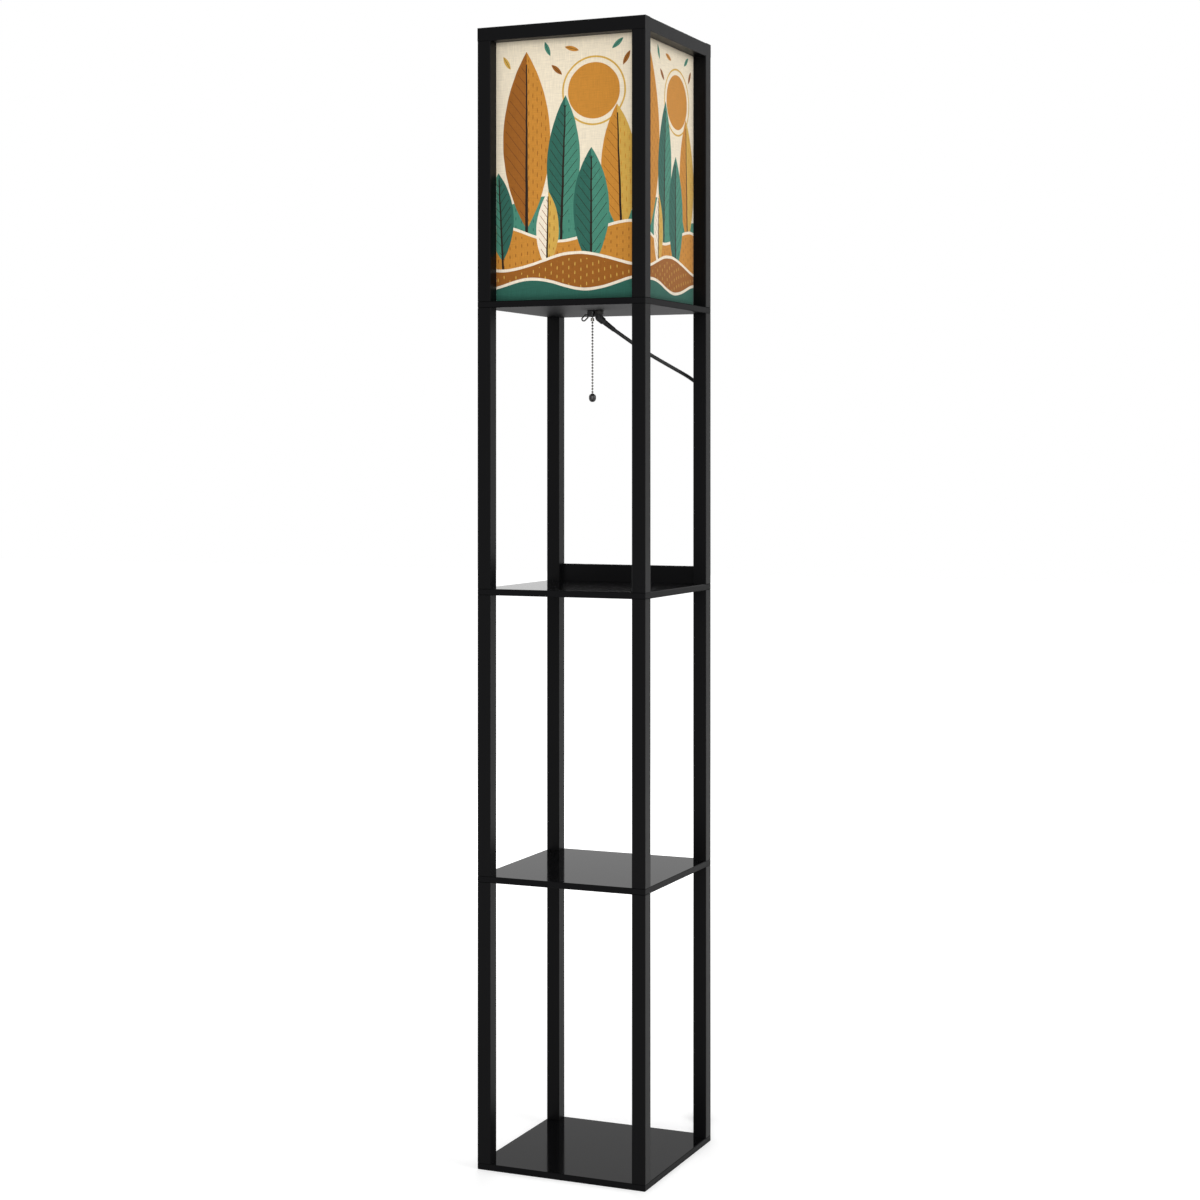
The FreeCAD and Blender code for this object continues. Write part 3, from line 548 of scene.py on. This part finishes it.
# ---------------------------------------------------------------- cord
CORD_D = 5.5 * MM
CORD_ROUTE = [
    (0.0188, 0.0203, 1.1812), (0.0336, 0.0406, 1.1664), (0.0526, 0.0666, 1.1484),
    (0.0768, 0.0999, 1.1292), (0.0980, 0.1293, 1.1126), (0.1115, 0.1415, 1.0960),
    (0.1155, 0.1375, 1.0710), (0.1154, 0.1326, 1.0350), (0.1140, 0.1314, 0.9820),
    (0.1140, 0.1314, 0.9200), (0.1156, 0.1326, 0.8460), (0.1146, 0.1332, 0.7700),
    (0.1140, 0.1314, 0.7000), (0.1140, 0.1314, 0.6400), (0.1129, 0.1329, 0.5660),
    (0.1149, 0.1325, 0.4900), (0.1153, 0.1332, 0.4120), (0.1140, 0.1314, 0.3360),
    (0.1140, 0.1314, 0.2740), (0.1150, 0.1330, 0.2040), (0.1162, 0.1354, 0.1360),
    (0.1162, 0.1354, 0.0740),
]
HANK_AT = (0.117, 0.117)
HANK_TURN = math.radians(110.713)
HANK_S = 0.0175
HANK_R = 0.0185
HANK_LOW = CORD_D / 2 + HANK_R
HANK_HIGH = HANK_LOW + 0.058
HANK_STEP = 0.0058
FOLD_POINTS = 6
FOLD_WIDEN = 1.035
TAIL_ROUTE = [
    (0.0175, -0.0059, 0.0380), (0.0176, -0.0060, 0.0240), (0.0226, -0.0066, 0.0126),
    (0.0330, -0.0078, 0.0058), (0.0460, -0.0086, 0.0029), (0.0600, -0.0062, 0.0033),
    (0.0720, -0.0022, 0.0056), (0.0820, 0.0000, 0.0075),
]


def hank_point(s, a, z):
    """A place given back, sideways and up from the rear right post, in the lamp's own frame."""
    back = Vector((math.cos(HANK_TURN), math.sin(HANK_TURN), 0))
    side = Vector((math.sin(HANK_TURN), -math.cos(HANK_TURN), 0))
    return Vector((*HANK_AT, z)) + back * s + side * a


def hank_turns():
    """The folded strands: down the near run, round the foot, up the far run and over the head."""
    middle = HANK_S + HANK_R
    wide = HANK_R * FOLD_WIDEN
    points = []
    for turn in range(2):
        side = HANK_STEP * (1 - turn)
        for k in range(FOLD_POINTS + 1):
            angle = math.pi * (1 + k / FOLD_POINTS)
            shift = side - HANK_STEP / 2 * k / FOLD_POINTS
            points.append((middle + wide * math.cos(angle), shift, HANK_LOW + wide * math.sin(angle)))
        points.append((middle + HANK_R, side - HANK_STEP / 2, (HANK_LOW + HANK_HIGH) / 2))
        for k in range(FOLD_POINTS + 1):
            angle = math.pi * k / FOLD_POINTS
            shift = side - HANK_STEP / 2 * (1 + k / FOLD_POINTS)
            points.append((middle + wide * math.cos(angle), shift, HANK_HIGH + wide * math.sin(angle)))
        if turn == 0:
            points.append((HANK_S, 0, (HANK_LOW + HANK_HIGH) / 2))
    return [hank_point(*p) for p in points]


def make_cord():
    points = [Vector(p) for p in CORD_ROUTE] + hank_turns() + [hank_point(*p) for p in TAIL_ROUTE]
    curve = bpy.data.curves.new("mains_cord", "CURVE")
    curve.dimensions = "3D"
    curve.bevel_depth = CORD_D / 2
    curve.bevel_resolution = 5
    curve.use_fill_caps = True
    spline = curve.splines.new("NURBS")
    spline.points.add(len(points) - 1)
    for point, place in zip(spline.points, points):
        point.co = (*place, 1)
    spline.order_u = 3
    spline.use_endpoint_u = True
    spline.resolution_u = 8
    curve.materials.append(SHEATH)
    cord = bpy.data.objects.new("mains_cord", curve)
    bpy.context.scene.collection.objects.link(cord)
    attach(cord, "frame")
    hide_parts("cord_lead", "cord_hank", "cord_tail")
    return cord


# ---------------------------------------------------------------- shade
CLOTH_T = 0.6 * MM
CLOTH_PROUD = 0.66 * MM
CLOTH_CORNER = 0.1 * MM
CLOTH_TUCK = 0.45 * MM
TUCK_BELOW = 1.0 * MM
CORNER_STEP = math.radians(30)
CLOTH_ACROSS = 24
CLOTH_ROWS = 36
PANEL_BOW = 0.7 * MM
WIRE_R = 1.5 * MM
WIRE_IN = 2.96 * MM
HEM_R = 1.85 * MM
HEM_T = 0.3 * MM
HEM_H = 9.0 * MM
SEAM_W = 10.0 * MM
SEAM_T = 0.35 * MM
SEAM_IN = 1.0 * MM


def square_ring(half, corner):
    """Points round a square: place, way inwards, share from the side's middle, and length along."""
    flat_half = half - corner
    ring = []
    for quarter in range(4):
        turn = Matrix.Rotation(quarter * math.pi / 2, 3, "Z")
        for k in range(CLOTH_ACROSS + 1):
            share = 2 * k / CLOTH_ACROSS - 1
            place = Vector((flat_half * share, -half, 0))
            ring.append((turn @ place, turn @ Vector((0, 1, 0)), share, flat_half * share))
        for k in (1, 2):
            angle = k * CORNER_STEP
            way = Vector((math.sin(angle), -math.cos(angle), 0))
            place = Vector((flat_half, -flat_half, 0)) + corner * way
            ring.append((turn @ place, turn @ -way, 1.0, flat_half + corner * angle))
    return ring


def square_sleeve(name, profile, half, thick, materials, bow=0.0):
    """A sheet round a square, through (inset, height) points, with the print's map in millimetres."""
    vertices, faces, uvs = [], [], []
    foot, head = profile[0][1], profile[-1][1]
    for inset, z in profile:
        share = (z - foot) / (head - foot) if bow else 0.0
        ring = square_ring(half - inset, CLOTH_CORNER)
        for place, inward, side, _ in ring:
            depth = bow * (1 - side ** 2) * (1 - (2 * share - 1) ** 4)
            vertices.append(place + inward * depth + Vector((0, 0, z)))
    count = len(ring)
    heights = [0.0]
    for (x0, z0), (x1, z1) in zip(profile, profile[1:]):
        heights.append(heights[-1] + math.hypot(x1 - x0, z1 - z0))
    for row in range(len(profile) - 1):
        below, above = row * count, (row + 1) * count
        for k in range(count):
            after = (k + 1) % count
            faces.append([below + k, below + after, above + after, above + k])
            start, end = ring[k][3], ring[after][3]
            if end < start:
                end = start + CLOTH_CORNER * CORNER_STEP
            low, high = heights[row], heights[row + 1]
            uvs += [(start, low), (end, low), (end, high), (start, high)]
    return sheet_mesh(name, vertices, faces, uvs, thick, materials)


def sheet_mesh(name, vertices, faces, uvs, thick, materials):
    mesh = bpy.data.meshes.new(name)
    mesh.from_pydata([tuple(v) for v in vertices], [], faces)
    layer = mesh.uv_layers.new(name=MAP)
    for index, (u, v) in enumerate(uvs):
        layer.data[index].uv = (u / MM, v / MM)
    for face in mesh.polygons:
        face.use_smooth = True
    for material in materials:
        mesh.materials.append(material)
    made = bpy.data.objects.new(name, mesh)
    bpy.context.scene.collection.objects.link(made)
    thicken = made.modifiers.new("thickness", "SOLIDIFY")
    thicken.thickness = thick
    thicken.offset = 0
    thicken.material_offset = len(materials) - 1
    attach(made, "frame")
    return made


def make_hem(name, edge_z, inwards, half, material):
    """The cloth turned in over a wire at the sleeve's edge; inwards is 1 at the foot, -1 at the head."""
    wire_z = edge_z + inwards * WIRE_R
    over = arc_points((WIRE_IN, 0), HEM_R, 180, 0, 8)
    profile = [(x, wire_z - inwards * z) for x, z in over] + [(WIRE_IN + HEM_R, edge_z + inwards * HEM_H)]
    return square_sleeve(name, profile, half, HEM_T, [material])


def make_seam(half, low, high, material):
    """The overlap where the wrapped cloth ends, behind, beside the rear left post."""
    y = half + SEAM_T / 2
    left = SEAM_IN - half
    xs = (left, left + SEAM_W)
    corners = [Vector((x, y, z)) for z in (low, high) for x in xs]
    map_x = (half, half - SEAM_W)
    uvs = [(map_x[0], 0), (map_x[1], 0), (map_x[1], high - low), (map_x[0], high - low)]
    return sheet_mesh("shade_seam", corners, [(0, 1, 3, 2)], uvs, SEAM_T, [material])


def make_shade():
    """Four taut panels in one printed sleeve with a white lining, hemmed over the wires.

    The sleeve fills the space between the posts, and draws in where its head stands inside the rails.
    """
    low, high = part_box("shade_cover")
    half = high.x + CLOTH_PROUD
    free_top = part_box("top_rail_front")[0].z - TUCK_BELOW
    print_cloth = printed_cloth()
    hem_cloth = plain_cloth()
    rise = (free_top - low.z) / CLOTH_ROWS
    profile = [(CLOTH_T / 2, low.z + rise * row) for row in range(CLOTH_ROWS + 1)]
    profile += [(CLOTH_T / 2 + CLOTH_TUCK, z) for z in (free_top + TUCK_BELOW, high.z)]
    shade = square_sleeve("shade_cloth", profile, half, CLOTH_T, [print_cloth, LINING], PANEL_BOW)
    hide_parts("shade_cover")
    parts = [
        make_hem("shade_hem_lower", low.z, 1, half, hem_cloth),
        make_hem("shade_hem_upper", high.z, -1, half, hem_cloth),
        make_seam(half, low.z, free_top, print_cloth),
    ]


# ---------------------------------------------------------------- pull chain
CHAIN_X = -6.2 * MM
BEAD_R = 1.55 * MM
BEAD_PITCH = 4.31 * MM
LINK_R = 0.32 * MM
UPPER_BEADS = 13
LOWER_BEADS = 12
BEAD_SIDES = 14
BEAD_END = 72
LINK_SIDES = 8
KNOB_SIDES = 40
# radius and height up the knob, as shares of its own
KNOB_PROFILE = [
    (0, 0), (0.34, 0.0), (0.44, 0.02), (0.62, 0.07), (0.86, 0.18), (0.98, 0.32), (1.0, 0.42), (1.0, 0.60),
    (0.97, 0.70), (0.84, 0.83), (0.62, 0.92), (0.46, 0.955), (0.40, 0.975), (0.40, 1.0), (0.14, 1.0),
    (0.14, 0.93), (0, 0.93),
]


def bead_chain(name, first_z, count, link_top, link_foot, body):
    """Round beads, drawn in a little at each end where the link goes in, on one run of wire."""
    vertices, faces = [], []

    def grow(profile, z, sides):
        made = lathe_rings(profile, (CHAIN_X, 0, z), sides, first=len(vertices))
        vertices.extend(made[0])
        faces.extend(made[1])

    ball = [(0.0, -BEAD_R)] + arc_points((0, 0), BEAD_R, -BEAD_END, BEAD_END, 8) + [(0.0, BEAD_R)]
    for k in range(count):
        grow(ball, first_z - k * BEAD_PITCH, BEAD_SIDES)
    grow([(0, link_foot), (LINK_R, link_foot), (LINK_R, link_top), (0, link_top)], 0, LINK_SIDES)
    return add_mesh(name, vertices, faces, CHAIN_NICKEL, body)


def make_chain():
    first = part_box("chain_upper")[1].z - BEAD_R
    last = first - (UPPER_BEADS - 1) * BEAD_PITCH
    upper = bead_chain("bead_chain_upper", first, UPPER_BEADS, first, last, "upper_chain")
    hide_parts("chain_upper")
    low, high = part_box("chain_lower")
    lower = bead_chain("bead_chain_lower", last - BEAD_PITCH, LOWER_BEADS, high.z, low.z, "lower_chain")
    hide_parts("chain_lower")

    low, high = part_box("pull_knob")
    radius, height = (high.x - low.x) / 2, high.z - low.z
    knob = lathe("turned_knob", [(r * radius, h * height) for r, h in KNOB_PROFILE], (CHAIN_X, 0, low.z),
                 KNOB_SIDES, KNOB_BLACK, "lower_chain")
    smooth = knob.modifiers.new("round", "SUBSURF")
    smooth.levels = smooth.render_levels = 1
    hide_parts("pull_knob")


# ---------------------------------------------------------------- screws
SCREW_R = 2.2 * MM
HEAD_R = 4.4 * MM
HEAD_H = 2.6 * MM
HEAD_SIDES = 32
TIP_L = 3.0 * MM
CROSS_REACH = 2.3 * MM
CROSS_HALF = 0.5 * MM
CROSS_DEPTH = 1.5 * MM
CROSS_TAPER = 0.55


def circle(radius, depth):
    """Points round a screw's axis, so far along it."""
    turns = [2 * math.pi * k / HEAD_SIDES for k in range(HEAD_SIDES)]
    return [Vector((radius * math.cos(t), radius * math.sin(t), depth)) for t in turns]


def cross(share, depth):
    """The outline of a cross recess, as a share of its size at the face."""
    arm = [(CROSS_REACH, -CROSS_HALF), (CROSS_REACH, CROSS_HALF), (CROSS_HALF, CROSS_HALF)]
    turns = [Matrix.Rotation(k * math.pi / 2, 3, "Z") for k in range(4)]
    return [turn @ Vector((x * share, y * share, depth)) for turn in turns for x, y in arm]


def cross_head_screw(at, way, reach, first):
    """Vertices and faces of a countersunk screw; way is 1 where it points up and -1 down."""
    loops = [circle(HEAD_R, 0), circle(SCREW_R, HEAD_H), circle(SCREW_R, reach - TIP_L)]
    recess = [cross(1.0, 0), cross(CROSS_TAPER, CROSS_DEPTH)]
    vertices, starts = [], []
    for loop in loops + recess + [[Vector((0, 0, reach))]]:
        starts.append(first + len(vertices))
        vertices += loop
    faces = []
    for start, after, count in ((starts[0], starts[1], HEAD_SIDES), (starts[1], starts[2], HEAD_SIDES),
                                (starts[3], starts[4], len(recess[0]))):
        for k in range(count):
            on = (k + 1) % count
            faces.append([start + k, start + on, after + on, after + k])
    for k in range(HEAD_SIDES):
        faces.append([starts[2] + k, starts[2] + (k + 1) % HEAD_SIDES, starts[5]])
    flat = list(range(starts[0], starts[1])) + list(range(starts[3], starts[4]))
    faces += [[flat[i] for i in face] for face in tessellate_polygon([loops[0], recess[0]])]
    faces += [[starts[4] + i for i in face] for face in tessellate_polygon([recess[1]])]
    return [Vector(at) + Vector((v.x, v.y, v.z * way)) for v in vertices], faces


def make_screws(name, node, way):
    """The screws of one node, at the corners of its box, with their flat heads at its outer end."""
    low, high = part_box(node)
    across = sorted({round(x, 6) for x in (low.x + HEAD_R, high.x - HEAD_R)})
    back = sorted({round(y, 6) for y in (low.y + HEAD_R, high.y - HEAD_R)})
    vertices, faces = [], []
    for x in across:
        for y in back:
            head = (x, y, low.z if way > 0 else high.z)
            made = cross_head_screw(head, way, high.z - low.z, len(vertices))
            vertices += made[0]
            faces += made[1]
    screws = add_mesh(name, vertices, faces, STEEL, "frame", smooth=False)
    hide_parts(node)


# ---------------------------------------------------------------- finish on the nodes
BOARDS = ("base_board", "lower_shelf", "middle_shelf", "shade_deck")
UNDER_DECK = ("nipple", "nipple_nut", "deck_washer", "wire_loop")


def paint_nodes():
    """Every node that still shows takes its own material."""
    by_slot = {
        "zinc_steel": STEEL, "birch": BIRCH, "white_wire": WHITE_WIRE, "black_phenolic": PHENOLIC,
        "brass": BRASS, "nickel": NICKEL, "opal": OPAL, "black_metal": BLACK_METAL, "dark_wood": KNOB_BLACK,
        "black_plastic": BLACK_PLASTIC, "cord_sheath": SHEATH, "tie_plastic": BLACK_PLASTIC,
    }
    slots = {part["node"]: part["material_slot"] for part in frame["record"]["subparts"]}
    for name, node in frame["nodes"].items():
        if slots[name] == "black_wood":
            grain = "Z" if name.startswith("post_") else "X"
            if name in ("top_rail_left", "top_rail_right"):
                grain = "Y"
            material = BOARD_LACQUER if name in BOARDS else FRAME_LACQUER[grain]
        elif slots[name] == "shade_fabric":
            continue
        else:
            material = DARK_NICKEL if name in UNDER_DECK else by_slot[slots[name]]
        node.data.materials.clear()
        node.data.materials.append(material)


# ---------------------------------------------------------------- stage, light and camera
def seen_by_eye(nodes, links):
    """1 for rays that show the background: the camera's, and those that mirror or pass through."""
    path = nodes.new("ShaderNodeLightPath")
    total = path.outputs["Is Camera Ray"]
    for name in ("Is Glossy Ray", "Is Transmission Ray"):
        most = nodes.new("ShaderNodeMath")
        most.operation = "MAXIMUM"
        links.new(total, most.inputs[0])
        links.new(path.outputs[name], most.inputs[1])
        total = most.outputs[0]
    return total


def make_world():
    world = bpy.data.worlds.new("studio")
    bpy.context.scene.world = world
    world.use_nodes = True
    nodes, links = world.node_tree.nodes, world.node_tree.links
    mix = nodes.new("ShaderNodeMix")
    mix.inputs["A"].default_value = WORLD_LIGHT
    mix.inputs["B"].default_value = 1.0
    links.new(seen_by_eye(nodes, links), mix.inputs["Factor"])
    links.new(mix.outputs["Result"], nodes["Background"].inputs["Strength"])
    nodes["Background"].inputs["Color"].default_value = (1, 1, 1, 1)


def make_floor():
    """A pale floor whose far part, beyond the lamps' reach, is as white as the background."""
    paint = Paint("pale_floor", Roughness=0.9, Specular_IOR_Level=0.0)
    paint.shader.inputs["Base Color"].default_value = (FLOOR_SHADE, FLOOR_SHADE, FLOOR_SHADE, 1)
    paint.shader.inputs["Emission Color"].default_value = (1, 1, 1, 1)
    away = paint.node("VectorMath", {"operation": "LENGTH"})
    paint.feed(away.inputs[0], paint.place())
    far = ((Field(paint, away.outputs["Value"]) - FLOOR_NEAR) / (FLOOR_FAR - FLOOR_NEAR)).clamped()
    glow = far.between(FLOOR_GLOW_NEAR, FLOOR_GLOW_FAR)
    seen = Field(paint, seen_by_eye(paint.tree.nodes, paint.tree.links))
    paint.feed(paint.shader.inputs["Emission Strength"], glow * seen)
    half = FLOOR_SIZE / 2
    mesh = bpy.data.meshes.new("floor")
    corners = [(-half, -half, 0), (half, -half, 0), (half, half, 0), (-half, half, 0)]
    mesh.from_pydata(corners, [], [(0, 1, 2, 3)])
    floor = bpy.data.objects.new("floor", mesh)
    mesh.materials.append(paint.material)
    bpy.context.scene.collection.objects.link(floor)


def make_lamps():
    for name, place, aim, size, power in LAMPS:
        lamp = bpy.data.lights.new(name, "AREA")
        lamp.size = size
        lamp.energy = power
        made = bpy.data.objects.new(name, lamp)
        made.location = place
        made.rotation_euler = (Vector(aim) - Vector(place)).to_track_quat("-Z", "Y").to_euler()
        bpy.context.scene.collection.objects.link(made)


def make_camera():
    lens = bpy.data.cameras.new("camera")
    lens.sensor_width = SENSOR
    lens.sensor_fit = "HORIZONTAL"
    lens.lens = LENS
    lens.shift_y = SHIFT_Y
    lens.clip_start = 0.01
    camera = bpy.data.objects.new("camera", lens)
    camera.location = CAMERA_AT
    camera.rotation_euler = Euler((math.pi / 2, 0, CAMERA_TURN))
    bpy.context.scene.collection.objects.link(camera)
    bpy.context.scene.camera = camera


# ---------------------------------------------------------------- the scene
make_world()
make_floor()
make_lamps()
make_camera()
paint_nodes()
cord = make_cord()
make_shade()
make_chain()
make_screws("cross_head_base_screws", "base_screws", 1)
make_screws("cross_head_rail_screws", "back_rail_screws", 1)
make_screws("cross_head_top_screws", "top_screws", -1)
bpy.context.scene.view_settings.view_transform = "Standard"
